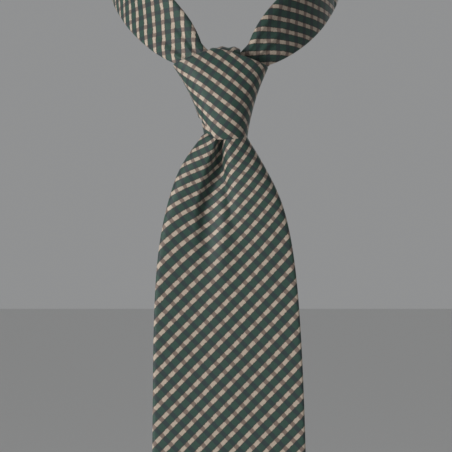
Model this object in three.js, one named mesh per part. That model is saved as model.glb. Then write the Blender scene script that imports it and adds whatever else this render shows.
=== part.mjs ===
// A woven silk necktie, tied in a four-in-hand knot and hanging as it is worn.
//
// The tie is one long folded strip: a silk envelope whose two flaps meet at a slip-stitched seam on
// the back, round an interlining, with a lining ("tipping") behind each point. Tied, that strip goes
// round the neck, turns round itself in the knot, and hangs as a wide front blade over a narrow tail.
// Each stretch that does a different job is a piece of its own here.
//
// Frame: millimetres, +Z up, +X to the viewer's right, the front faces -Y. The origin is the centre of
// the neck opening. "depth" is measured from the chest plane towards the viewer, always positive.
import * as THREE from "three";

// ---------- driving dimensions ----------
const chestY = -60; // the plane that the back of the knot rests near

// the cloth
const silkWall = 0.55; // the silk with its turnings
const foldWall = 1.0; // the silk where it rolls round a long edge
const edgeRound = 0.9;
const ease = 0.3; // between two layers that touch
const stripThickness = 3.4;
const knotStripThickness = 3.0;
const tippingThickness = 0.4;
const seamHalfGap = 0.2;

// the neck loop
const neckRadius = 64.5; // to the middle of the band
const bandWidth = 35;
const gussetLength = 250; // the middle panel of three, round the back of the neck
const pinchedWidth = 14.4; // where the band is folded small to pass through the knot
const pinchLength = 18; // how fast it opens again above the knot
const shoulderRoom = 5; // past the over pass, where each strand turns down into the knot
const shoulderHeight = -50;
const strandEnd = -90; // inside the knot

// the knot
const knotBottom = -91;
const knotHeight = 45;
const knotCornerHeight = 34;
const knotPadding = 4.8; // the turns, on each side of the strands that the knot holds
const knotHalfWidth = pinchedWidth / 2 + knotPadding; // at its lower edge
const knotFlare = 0.33; // half-width gained for each millimetre of height
const knotSideDepth = 12; // where the round front meets the straight sides
const knotSideEnd = 5.5;
const knotSquareness = 3.2; // 2 is an ellipse, more is squarer
const knotSlack = 1.9; // room between the over pass and the front turn

// the over pass: up behind the knot, over the top and down inside the front turn
const overSink = 10.2; // how far its round top is sunk between the sloping edges of the strands
const overShoulder = shoulderHeight + pinchedWidth * Math.SQRT1_2 - overSink;
const overWidth = 17;
const shoulderAside = overWidth / 2 + shoulderRoom;
const overEndWidth = 14.4;
const overEndThickness = 3.8;
const overBackFoot = -88;
const overBackDepth = 3.0;

// the turns inside
const innerTurnThickness = 2.4;
const innerTurnFoot = -81;
const innerTurnTop = -68;
const backTurnTop = shoulderHeight - pinchedWidth * Math.SQRT1_2; // below the lower edge of each strand

// the layers through the knot, from the back to the front, each clear of the last
const nextLayer = (depth, thickness, nextThickness) => depth + (thickness + nextThickness) / 2 + ease;
const backTurnDepth = nextLayer(overBackDepth, knotStripThickness, knotStripThickness);
const tailStrandDepth = nextLayer(backTurnDepth, knotStripThickness, knotStripThickness);
const bladeStrandDepth = nextLayer(tailStrandDepth, knotStripThickness, knotStripThickness);
const innerTurnDepth = nextLayer(bladeStrandDepth, knotStripThickness, innerTurnThickness);
const overFrontDepth = nextLayer(innerTurnDepth, innerTurnThickness, overEndThickness);
const knotFrontDepth = overFrontDepth + overEndThickness / 2 + knotSlack + knotStripThickness;

// the front blade
const bladeLength = 460;
const bladeHalfWidth = 46.5;
const bladePointHeight = 46.5;
const bladeTaper = 0.0165; // half-width gained for each millimetre down
const bladeExitHalfWidth = 12;
const gatherLength = 32.5; // how far below the knot the gathers open
const gatherPower = 1.08;
const bladeBackRoom = 2.6; // between the tail and the flat blade, for the keeper
const bladeDepth = tailStrandDepth + stripThickness + bladeBackRoom;
const bladeRecede = 48;
const bladeOpening = 160; // above the tip, where the flaps part over the tipping
const bladeVStart = bladeLength - bladeOpening;
const tippingHem = 7;
const hingeGap = 0.4;

// the tail
const tailShorter = 120; // its tip stops this far above the blade's, within the keeper's reach
const tailLength = bladeLength - tailShorter;
const tailHalfWidth = 20;
const tailPointHeight = 20;
const tailFlatWidth = 32;
const tailOpenLength = 90; // the fold is flat this far below the knot
const tailOpening = 75;
const tailVStart = tailLength - tailOpening;

// the small pieces on the backs
const threadRadius = seamHalfGap; // a slip stitch lies along the gap, and not on the flaps
const tackLength = 9;
const tackHeight = 2;
const tackThickness = 0.8;
const keeperLength = 48;
const keeperHeight = 12;
const keeperThickness = 0.7;
const keeperLift = 0.7;
const keeperTop = bladeVStart - 38;
const labelSize = [30, 16, 0.4];
const labelTop = bladeVStart + 45;
const careTagSize = [14, 18, 0.4];
const careTagTop = bladeVStart - 22;

// ---------- materials ----------
const finish = (color, roughness) =>
  new THREE.MeshStandardMaterial({ color, roughness, metalness: 0 });
const silk = finish(0x30493f, 0.55);
const canvas = finish(0xcfc8b8, 0.9);
const lining = finish(0x1d2a26, 0.4);
const thread = finish(0x24352f, 0.6);
const labelCloth = finish(0x1a1d1c, 0.6);

const tie = new THREE.Group();
const yAt = (depth) => chestY - depth;
const smooth = (x) => x * x * (3 - 2 * x);
const clamp01 = (x) => Math.min(1, Math.max(0, x));
const v2 = (a, b) => new THREE.Vector2(a, b);
const v3 = (x, y, z) => new THREE.Vector3(x, y, z);

// ---------- the solids ----------
// A station is a place on a strip: its middle, the unit vector across it, the unit vector out of its
// face, and its width and thickness there. An outline is drawn across and out, in millimetres.

/** Joins the outline at each station to the next, and closes both ends. */
function loft(stations, outlineOf) {
  const outlines = stations.map(outlineOf);
  const count = outlines[0].length;
  const positions = [];
  stations.forEach((station, i) =>
    outlines[i].forEach((p) => {
      const point = station.middle
        .clone()
        .addScaledVector(station.across, p.x)
        .addScaledVector(station.out, p.y);
      positions.push(point.x, point.y, point.z);
    }),
  );
  const index = [];
  for (let i = 0; i + 1 < stations.length; i++) {
    for (let j = 0; j < count; j++) {
      const k = (j + 1) % count;
      const here = i * count;
      const next = here + count;
      // The diagonal always runs from the left here to the right there, so that nested layers
      // that twist together stay clear of each other.
      if (outlines[i][j].x < outlines[i][k].x) {
        index.push(here + j, here + k, next + k, here + j, next + k, next + j);
      } else {
        index.push(here + j, here + k, next + j, here + k, next + k, next + j);
      }
    }
  }
  const cap = (i, turned) => {
    const base = i * count;
    for (const [a, b, c] of THREE.ShapeUtils.triangulateShape(outlines[i], [])) {
      const area = THREE.ShapeUtils.area([outlines[i][a], outlines[i][b], outlines[i][c]]);
      const forward = area > 0 !== turned;
      index.push(base + a, base + (forward ? b : c), base + (forward ? c : b));
    }
  };
  cap(0, true);
  cap(stations.length - 1, false);
  return facingOut(positions, index);
}

/** A geometry from points and triangles, with its faces turned outwards. */
function facingOut(positions, index) {
  const corner = (i) => new THREE.Vector3().fromArray(positions, 3 * i);
  let volume = 0;
  for (let i = 0; i < index.length; i += 3) {
    volume += corner(index[i]).dot(corner(index[i + 1]).cross(corner(index[i + 2])));
  }
  const geometry = new THREE.BufferGeometry();
  geometry.setAttribute("position", new THREE.Float32BufferAttribute(positions, 3));
  geometry.setIndex(volume < 0 ? index.slice().reverse() : index);
  geometry.computeVertexNormals();
  return geometry;
}

function add(name, geometry, material) {
  const mesh = new THREE.Mesh(geometry, material);
  mesh.name = name;
  tie.add(mesh);
}

/** The silk: a flat tube with rolled long edges, slit down the middle of its back. */
function silkOutline({ width, thickness, halfGap = seamHalfGap }) {
  const side = width / 2;
  const face = thickness / 2;
  const inner = side - foldWall;
  const skin = face - silkWall;
  const round = Math.min(edgeRound, face * 0.6);
  return [
    v2(halfGap, -face),
    v2(side - round, -face),
    v2(side, -face + round),
    v2(side, face - round),
    v2(side - round, face),
    v2(0, face),
    v2(-side + round, face),
    v2(-side, face - round),
    v2(-side, -face + round),
    v2(-side + round, -face),
    v2(-halfGap, -face),
    v2(-halfGap, -skin),
    v2(-inner, -skin),
    v2(-inner, skin),
    v2(0, skin),
    v2(inner, skin),
    v2(inner, -skin),
    v2(halfGap, -skin),
  ];
}

/** A rectangle across the strip, from the height "low" to the height "high" out of its middle. */
function slabOutline(width, low, high) {
  const side = width / 2;
  return [v2(-side, low), v2(0, low), v2(side, low), v2(side, high), v2(0, high), v2(-side, high)];
}

/** The interlining, inside the silk and, where there is one, in front of the tipping. */
function coreOutline({ width, thickness }, behind = 0) {
  const skin = thickness / 2 - silkWall - ease;
  return slabOutline(width - 2 * (foldWall + ease), -skin + behind, skin);
}

const tippingLayer = tippingThickness + ease;

/** The tipping, just inside the flaps. */
function tippingOutline({ width, thickness }) {
  const back = -thickness / 2 + silkWall + ease;
  return slabOutline(width - 2 * (foldWall + ease), back, back + tippingThickness);
}

function addShell(name, stations) {
  add(`${name}_shell`, loft(stations, silkOutline), silk);
}

/** A stretch of the silk, and the interlining that fills it. */
function addLined(name, stations) {
  addShell(name, stations);
  add(`${name}_interlining`, loft(stations, (s) => coreOutline(s)), canvas);
}

/** A plain block, given by its middle and its sizes along X, Y and Z. */
function addBlock(name, middle, [x, y, z], material) {
  const box = new THREE.BoxGeometry(x, y, z);
  box.translate(middle.x, middle.y, middle.z);
  add(name, box, material);
}

// ---------- the neck loop ----------
// One curve from inside the knot, up its left strand, round the neck, and down its right strand. It
// lies on the neck's side and back, and leaves it in front to reach the knot.
function strandPoints(depth) {
  const aroundNeck = [
    [54, -9],
    [90, 13],
    [132, 29],
  ].map(([degrees, z]) => {
    const turn = THREE.MathUtils.degToRad(degrees);
    return v3(neckRadius * Math.sin(turn), -neckRadius * Math.cos(turn), z);
  });
  const straight = [shoulderHeight - 26, shoulderHeight - 20].map((z) => v3(0, yAt(depth), z));
  return [
    ...straight,
    v3(shoulderAside * 0.14, yAt(depth), shoulderHeight - 13),
    v3(shoulderAside, yAt(depth), shoulderHeight),
    v3(shoulderAside * 2, yAt(5), shoulderHeight + 14.5),
    ...aroundNeck,
  ];
}

function neckCurve() {
  const left = strandPoints(bladeStrandDepth).map((p) => v3(-p.x, p.y, p.z));
  const right = strandPoints(tailStrandDepth).reverse();
  return new THREE.CatmullRomCurve3([...left, v3(0, neckRadius, 36), ...right], false, "centripetal");
}

const neckPath = neckCurve();
neckPath.arcLengthDivisions = 2000;
const neckLength = neckPath.getLength();
const pinchStart = shoulderAside * 1.4 + 20; // along the curve, from its end to the shoulder

function neckStation(along) {
  const share = along / neckLength;
  const middle = neckPath.getPointAt(share);
  const forward = neckPath.getTangentAt(share);
  const out = v3(middle.x, middle.y, 0);
  out.addScaledVector(forward, -out.dot(forward)).normalize();
  const across = forward.clone().cross(out);
  const opening = Math.max(0, Math.min(along, neckLength - along) - pinchStart);
  const pinch = Math.exp(-opening / pinchLength);
  return {
    middle,
    across,
    out,
    width: THREE.MathUtils.lerp(bandWidth, pinchedWidth, pinch),
    thickness: THREE.MathUtils.lerp(stripThickness, knotStripThickness, pinch),
  };
}

/** The same strand where it hangs straight inside the knot and below it. */
function hangingStation(end, z) {
  const station = neckStation(end);
  return { ...station, middle: v3(0, station.middle.y, z) };
}

const evenly = (from, to, steps) =>
  Array.from({ length: steps + 1 }, (_, i) => from + ((to - from) * i) / steps);

const seamAt = (neckLength - gussetLength) / 2;
const bladeSide = evenly(0, seamAt - ease, 16);
const gusset = evenly(seamAt, neckLength - seamAt, 20);
const tailSide = evenly(neckLength - seamAt + ease, neckLength, 16);
const bladeSideStrand = [hangingStation(0, strandEnd), ...bladeSide.map(neckStation)];
const tailSideStrand = [...tailSide.map(neckStation), hangingStation(neckLength, strandEnd)];
addLined("blade_side_strand", bladeSideStrand);
addLined("neck_gusset", gusset.map(neckStation));
addLined("tail_side_strand", tailSideStrand);

// ---------- the knot ----------
const heightInKnot = (z) => z - knotBottom;

/** The half-width of the knot to the middle of its wall, at a height. */
const wallHalfWidth = (z) =>
  knotHalfWidth - knotStripThickness / 2 + knotFlare * heightInKnot(z);

/** A station of an upright strip that runs from "foot" to "top", facing "out". */
function uprightStation(foot, top, out, thickness) {
  const across = top.clone().sub(foot);
  const width = across.length();
  across.divideScalar(width);
  const face = out.clone().addScaledVector(across, -out.dot(across)).normalize();
  const middle = foot.clone().add(top).divideScalar(2);
  return { middle, across, out: face, width, thickness };
}

/** The front turn: round the front as a squared ellipse, then straight back along each side. */
function frontTurnStations() {
  const reach = knotFrontDepth - knotStripThickness / 2 - knotSideDepth;
  const place = (turn, z) => {
    const sine = Math.sin(turn);
    const x = wallHalfWidth(z) * Math.sign(sine) * Math.abs(sine) ** (2 / knotSquareness);
    const depth = knotSideDepth + reach * Math.cos(turn) ** (2 / knotSquareness);
    return v3(x, yAt(depth), z);
  };
  const topAt = (turn) => {
    const fall = smooth(clamp01(Math.abs(turn) / THREE.MathUtils.degToRad(75)));
    return knotBottom + knotHeight - (knotHeight - knotCornerHeight) * fall;
  };
  const stations = [];
  const steps = 14;
  for (let i = 0; i <= steps; i++) {
    const turn = (Math.PI / 2) * 0.999 * ((2 * i) / steps - 1);
    const foot = place(turn, knotBottom);
    const top = place(turn, topAt(turn));
    const out = v3(Math.sin(turn), -Math.cos(turn), 0);
    stations.push(uprightStation(foot, top, out, knotStripThickness));
  }
  const sideStation = (side, depth) => {
    const top = knotBottom + knotCornerHeight;
    const foot = v3(side * wallHalfWidth(knotBottom), yAt(depth), knotBottom);
    const head = v3(side * wallHalfWidth(top), yAt(depth), top);
    return uprightStation(foot, head, v3(side, 0, 0), knotStripThickness);
  };
  return [sideStation(-1, knotSideEnd), ...stations, sideStation(1, knotSideEnd)];
}

addLined("knot_front_turn", frontTurnStations());

/** The back turn: a flat stretch across the back, between the sides of the front turn. */
function backTurnStations() {
  const clear = knotStripThickness / 2 + ease + 0.2;
  const footHalf = wallHalfWidth(knotBottom) - clear;
  const topHalf = wallHalfWidth(backTurnTop) - clear;
  return [-1, 1].map((side) =>
    uprightStation(
      v3(side * footHalf, yAt(backTurnDepth), knotBottom + 0.5),
      v3(side * topHalf, yAt(backTurnDepth), backTurnTop),
      v3(0, 1, 0),
      knotStripThickness,
    ),
  );
}

addLined("knot_back_turn", backTurnStations());

/** The inner turn: the first crossing, a U round the two strands inside the knot. */
function innerTurnStations() {
  const corner = 2;
  const half = pinchedWidth / 2 + 2 * ease + innerTurnThickness / 2 + 0.3;
  const plan = [
    [half, tailStrandDepth, 1, 0],
    [half, innerTurnDepth - corner, 1, 0],
    [half - corner * 0.3, innerTurnDepth - corner * 0.3, Math.SQRT1_2, -Math.SQRT1_2],
    [half - corner, innerTurnDepth, 0, -1],
  ];
  const left = plan.map(([x, depth, outX, outY]) => [-x, depth, -outX, outY]).reverse();
  return [...plan, ...left].map(([x, depth, outX, outY]) =>
    uprightStation(
      v3(x, yAt(depth), innerTurnFoot),
      v3(x, yAt(depth), innerTurnTop),
      v3(outX, outY, 0),
      innerTurnThickness,
    ),
  );
}

const flatSlab = (s) => slabOutline(s.width, -s.thickness / 2, s.thickness / 2);
add("knot_inner_turn", loft(innerTurnStations(), flatSlab), silk);

/** The over pass: up the back, over the top in a half circle, and down inside the front turn. */
function overPassStations() {
  const radius = (overFrontDepth - overBackDepth) / 2;
  const centreDepth = (overFrontDepth + overBackDepth) / 2;
  const across = v3(1, 0, 0);
  const station = (depth, z, outY, outZ, share) => ({
    middle: v3(0, yAt(depth), z),
    across,
    out: v3(0, outY, outZ),
    width: THREE.MathUtils.lerp(overWidth, overEndWidth, share),
    thickness: THREE.MathUtils.lerp(knotStripThickness, overEndThickness, share),
  });
  const stations = [station(overBackDepth, overBackFoot, 1, 0, 0)];
  const steps = 12;
  for (let i = 0; i <= steps; i++) {
    const turn = (Math.PI * i) / steps;
    const depth = centreDepth - radius * Math.cos(turn);
    const z = overShoulder + radius * Math.sin(turn);
    stations.push(station(depth, z, Math.cos(turn), Math.sin(turn), 0));
  }
  stations.push(station(overFrontDepth, knotBottom, -1, 0, 1));
  return stations;
}

addLined("knot_over_pass", overPassStations());

// ---------- the front blade ----------
/** Half-width of the flat cloth, less what the gathers under the knot take in. */
function bladeHalf(down) {
  const pointStart = bladeLength - bladePointHeight;
  if (down > pointStart) {
    return bladeHalfWidth * (1 - (down - pointStart) / bladePointHeight);
  }
  const flat = bladeHalfWidth - bladeTaper * (pointStart - down);
  const atKnot = bladeHalfWidth - bladeTaper * pointStart - bladeExitHalfWidth;
  return flat - atKnot * Math.exp(-((down / gatherLength) ** gatherPower));
}

/** Thickness over the two lobes and the dimple between them; flat cloth further down. */
function bladeThickness(down) {
  const lobes = (overEndThickness - stripThickness + 0.38 * down) * Math.exp(-((down / 24) ** 1.4));
  return stripThickness + lobes;
}

function bladeStation(down) {
  const recede = Math.exp(-((down / bladeRecede) ** 2));
  const depth = bladeDepth + (overFrontDepth - bladeDepth) * recede;
  const half = bladeHalf(down);
  const open = smooth(clamp01((down - bladeVStart) / (bladeLength - bladePointHeight - bladeVStart)));
  const hem = THREE.MathUtils.lerp(half - seamHalfGap, tippingHem, open ** 0.5);
  return {
    middle: v3(0, yAt(depth), knotBottom - hingeGap - down),
    across: v3(1, 0, 0),
    out: v3(0, -1, 0),
    width: 2 * half,
    thickness: bladeThickness(down),
    halfGap: Math.max(seamHalfGap, Math.min(half - hem, half - foldWall - 0.3)),
  };
}

/** Adds a strip's silk, interlining and tipping; the lists say how far down their stations lie. */
function addHanging(name, stationAt, { shell, core, tipping }) {
  addShell(name, shell.map(stationAt));
  const coreInFront = (s) => coreOutline(s, tippingLayer);
  add(`${name}_interlining`, loft(core.map(stationAt), coreInFront), canvas);
  add(`${name}_tipping`, loft(tipping.map(stationAt), tippingOutline), lining);
}

const bladePoint = bladeLength - bladePointHeight;
const bladeGathers = [4, 9, 14, 20, 27, 36, 46, 58, 74, 96, 124];
const bladeOpen = [bladeVStart + 18, bladeVStart + 38, bladeVStart + 76, bladePoint];
const bladeTip = [bladePoint + 16, bladePoint + 30];
addHanging("blade", bladeStation, {
  shell: [0, ...bladeGathers, 160, 225, bladeVStart, ...bladeOpen, ...bladeTip, bladeLength - 2.4],
  core: [...bladeGathers, 160, 225, bladeVStart, ...bladeOpen, ...bladeTip, bladeLength - 8],
  tipping: [bladeVStart - 12, ...bladeOpen, ...bladeTip, bladeLength - 8],
});

// ---------- the tail ----------
/** How far the tail is still folded small, from 1 at the knot to 0 well below it. */
const tailFolded = (down) => 1 - smooth(clamp01(down / tailOpenLength));

function tailHalf(down) {
  const pointStart = tailLength - tailPointHeight;
  if (down > pointStart) {
    return tailHalfWidth * (1 - (down - pointStart) / tailPointHeight);
  }
  const flat = THREE.MathUtils.lerp(tailFlatWidth / 2, tailHalfWidth, down / pointStart);
  const folded = flat - pinchedWidth / 2;
  return flat - folded * tailFolded(down);
}

function tailStation(down) {
  const half = tailHalf(down);
  const open = smooth(clamp01((down - tailVStart) / (tailLength - tailPointHeight - tailVStart)));
  const hem = THREE.MathUtils.lerp(half - seamHalfGap, tippingHem * 0.7, open ** 0.5);
  return {
    middle: v3(0, yAt(tailStrandDepth), knotBottom - hingeGap - down),
    across: v3(1, 0, 0),
    out: v3(0, -1, 0),
    width: 2 * half,
    thickness: THREE.MathUtils.lerp(stripThickness, knotStripThickness, tailFolded(down)),
    halfGap: Math.max(seamHalfGap, Math.min(half - hem, half - foldWall - 0.3)),
  };
}

const tailPoint = tailLength - tailPointHeight;
const tailGathers = [10, 20, 30, 42, 56, 76, 120, 190];
const tailOpen = [tailVStart + 15, tailVStart + 33, tailPoint];
addHanging("tail", tailStation, {
  shell: [0, ...tailGathers, tailVStart, ...tailOpen, tailPoint + 10, tailLength - 2.4],
  core: [...tailGathers, tailVStart, ...tailOpen, tailPoint + 10, tailLength - 6],
  tipping: [tailVStart - 8, ...tailOpen, tailPoint + 10, tailLength - 6],
});

// ---------- threads, tacks, keeper and labels ----------
/** A place on the back of a strip: how far down, how far to the side, and how far off its surface. */
function onBack(station, aside, off) {
  const back = station.middle.y + station.thickness / 2 + off;
  return v3(station.middle.x + aside, back, station.middle.z);
}

/** The slip stitch: one thread lying along the closed seam. */
function addSlipStitch(name, stationAt, from, to) {
  const sides = 6;
  const outline = Array.from({ length: sides }, (_, i) => {
    const turn = (2 * Math.PI * i) / sides;
    return v2(threadRadius * Math.cos(turn), threadRadius * Math.sin(turn));
  });
  const stations = [from, (from + to) / 2, to].map((down) => ({
    middle: onBack(stationAt(down), 0, ease + threadRadius),
    across: v3(1, 0, 0),
    out: v3(0, 1, 0),
  }));
  add(name, loft(stations, () => outline), thread);
}

function addBarTack(name, stationAt, down, length) {
  const middle = onBack(stationAt(down), 0, ease + tackThickness / 2);
  addBlock(name, middle, [length, tackThickness, tackHeight], thread);
}

addSlipStitch("blade_slip_stitch", bladeStation, 110, bladeVStart - tackHeight);
addSlipStitch("tail_slip_stitch", tailStation, 118, tailVStart - tackHeight);
addBarTack("blade_bar_tack", bladeStation, bladeVStart, tackLength);
addBarTack("tail_bar_tack", tailStation, tailVStart, tackLength * 0.7);

/** The keeper: a band of the same silk across the back of the blade, sewn down at its two ends. */
function addKeeper() {
  const station = bladeStation(keeperTop + keeperHeight / 2);
  const half = keeperLength / 2;
  const lifts = [
    [-half, 0],
    [-half + 3, 0],
    [-half + 7, keeperLift],
    [half - 7, keeperLift],
    [half - 3, 0],
    [half, 0],
  ];
  const stations = lifts.map(([x, lift]) => ({
    middle: onBack(station, x, ease + keeperThickness / 2 + lift),
    across: v3(0, 0, 1),
    out: v3(0, 1, 0),
  }));
  const outline = slabOutline(keeperHeight, -keeperThickness / 2, keeperThickness / 2);
  add("keeper_loop", loft(stations, () => outline), silk);
  for (const [word, side] of [["left", -1], ["right", 1]]) {
    const middle = onBack(station, side * (half - 1.5), 2 * ease + keeperThickness + 0.25);
    addBlock(`keeper_stitch_${word}`, middle, [1.2, 0.5, keeperHeight - 3], thread);
  }
}
addKeeper();

/** A blank woven label on the tipping, and a blank care tag on the right flap. */
function addLabels() {
  const [labelWide, labelHigh, labelThick] = labelSize;
  const labelAt = bladeStation(labelTop + labelHigh / 2);
  const tippingBack = -(silkWall + ease) + ease;
  addBlock(
    "woven_label",
    onBack(labelAt, 0, tippingBack + ease - labelThick / 2),
    [labelWide, labelThick, labelHigh],
    labelCloth,
  );
  const [tagWide, tagHigh, tagThick] = careTagSize;
  const tagAt = bladeStation(careTagTop + tagHigh / 2);
  addBlock(
    "care_tag",
    onBack(tagAt, tagWide / 2 + 1.2, ease + tagThick / 2),
    [tagWide, tagThick, tagHigh],
    labelCloth,
  );
}
addLabels();

export default tie;
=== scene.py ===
import math
import bmesh
import bpy
import numpy as np
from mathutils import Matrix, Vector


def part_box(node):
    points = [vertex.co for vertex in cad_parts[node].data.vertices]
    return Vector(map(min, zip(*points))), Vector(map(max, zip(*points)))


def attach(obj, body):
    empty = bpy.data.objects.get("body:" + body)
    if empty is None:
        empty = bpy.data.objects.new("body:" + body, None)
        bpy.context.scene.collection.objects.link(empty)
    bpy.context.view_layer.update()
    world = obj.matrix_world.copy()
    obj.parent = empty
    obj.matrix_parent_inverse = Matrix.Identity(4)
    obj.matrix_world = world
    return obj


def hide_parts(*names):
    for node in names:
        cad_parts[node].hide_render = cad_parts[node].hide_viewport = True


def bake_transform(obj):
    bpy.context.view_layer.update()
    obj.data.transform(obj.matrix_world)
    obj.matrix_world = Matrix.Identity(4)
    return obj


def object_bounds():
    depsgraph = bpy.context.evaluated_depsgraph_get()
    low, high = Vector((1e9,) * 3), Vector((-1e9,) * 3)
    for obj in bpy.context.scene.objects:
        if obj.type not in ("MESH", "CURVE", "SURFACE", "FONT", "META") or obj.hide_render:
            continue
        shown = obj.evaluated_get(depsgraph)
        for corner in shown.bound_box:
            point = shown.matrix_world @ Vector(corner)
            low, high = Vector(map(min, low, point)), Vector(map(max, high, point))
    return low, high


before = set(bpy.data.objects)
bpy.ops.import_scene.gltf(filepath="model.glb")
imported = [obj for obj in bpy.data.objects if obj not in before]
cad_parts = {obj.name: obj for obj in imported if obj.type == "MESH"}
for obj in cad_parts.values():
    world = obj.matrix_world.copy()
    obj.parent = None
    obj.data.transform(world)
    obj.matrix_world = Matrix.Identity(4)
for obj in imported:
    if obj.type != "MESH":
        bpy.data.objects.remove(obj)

# A woven silk necktie, tied and hanging. Surfaces are worked out in millimetres: x to the right,
# depth from the chest towards the viewer, and z up. "down" is measured from the knot's lower edge.
mm = 0.001
cadBox = [list(corner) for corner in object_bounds()]


def boxInMm(node):
    # a node's lowest and highest corners at rest, in millimetres
    low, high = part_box(node)
    return np.array(low) / mm, np.array(high) / mm


knotLow, _ = boxInMm("knot_front_turn_shell")
overLow, overHigh = boxInMm("knot_over_pass_shell")
bladeLow, bladeHigh = boxInMm("blade_shell")
tailLow, tailHigh = boxInMm("tail_shell")
knotZ = knotLow[2]  # the knot's lower edge
chestY = overHigh[1] + 1.5  # depth 0

# camera, light and stage
camera = {"frameWidth": 249, "distance": 1400, "aside": 0.5, "below": 48.6, "sensor": 36}


def makeCamera():
    # straight on from the front: the lens is sensor * distance / width of the view
    data = bpy.data.cameras.new("camera")
    data.sensor_width = camera["sensor"]
    data.lens = camera["sensor"] * camera["distance"] / camera["frameWidth"]
    data.clip_end = 20
    eye = bpy.data.objects.new("camera", data)
    eye.location = (
        camera["aside"] * mm,
        (bladeLow[1] - camera["distance"]) * mm,
        (knotZ - camera["below"]) * mm,
    )
    eye.rotation_euler = (math.pi / 2, 0, 0)
    bpy.context.collection.objects.link(eye)
    bpy.context.scene.camera = eye


studio = {
    "world": (0.88, 0.89, 0.9),
    "worldStrength": 0.32,
    "aim": [0, -0.07, -0.16],
    "floor": (0.8, 0.8, 0.79),
    "floorBelow": 0.03,
    "floorReach": 12,
    "lamps": [  # name, place, size and power: soft boxes, aimed at the knot
        ("key", (-1.3, -1.2, -0.1), 0.5, 29),
        ("fill", (1.3, -1.3, 0.1), 1.2, 0.8),
        ("top", (0.1, -0.3, 1.3), 0.8, 1),
        ("back", (0.6, 1.3, 0.6), 1.0, 9),
    ],
}


def makeLight():
    # an even sky and four soft discs, each turned by two angles to face the knot
    world = bpy.data.worlds.new("studio")
    world.use_nodes = True
    background = world.node_tree.nodes["Background"]
    background.inputs["Color"].default_value = (*studio["world"], 1)
    background.inputs["Strength"].default_value = studio["worldStrength"]
    bpy.context.scene.world = world
    bpy.context.scene.view_settings.view_transform = "Standard"
    target = np.array(studio["aim"])
    for name, place, size, power in studio["lamps"]:
        data = bpy.data.lights.new(name, "AREA")
        data.shape = "DISK"
        data.size = size
        data.energy = power
        lamp = bpy.data.objects.new(name, data)
        lamp.location = place
        aim = target - np.array(place)
        pitch = math.atan2(math.hypot(aim[0], aim[1]), -aim[2])
        lamp.rotation_euler = (pitch, 0, math.atan2(aim[1], aim[0]) - math.pi / 2)
        bpy.context.collection.objects.link(lamp)


def makeStage():
    # one flat square floor, a little below the blade's point
    shade = bpy.data.materials.new("paleStage")
    shade.use_nodes = True
    surface = shade.node_tree.nodes["Principled BSDF"]
    surface.inputs["Base Color"].default_value = (*studio["floor"], 1)
    surface.inputs["Roughness"].default_value = 0.9
    floorZ = cadBox[0][2] - studio["floorBelow"]
    reach = studio["floorReach"]
    corners = [(x, y, floorZ) for y in (-reach, reach) for x in (-reach, reach)]
    mesh = bpy.data.meshes.new("floor")
    mesh.from_pydata(corners, [], [(0, 1, 3, 2)])
    mesh.materials.append(shade)
    plane = bpy.data.objects.new("floor", mesh)
    bpy.context.collection.objects.link(plane)


makeCamera()
makeLight()
makeStage()
print("camera, light and stage are in place")


# cloth as a material
def linear(red, green, blue):
    # a screen colour from 0 to 255, as the light that a surface sends back
    c = np.array([red, green, blue]) / 255
    c = np.where(c <= 0.04045, c / 12.92, ((c + 0.055) / 1.055) ** 2.4)
    return (*c.tolist(), 1)


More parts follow.
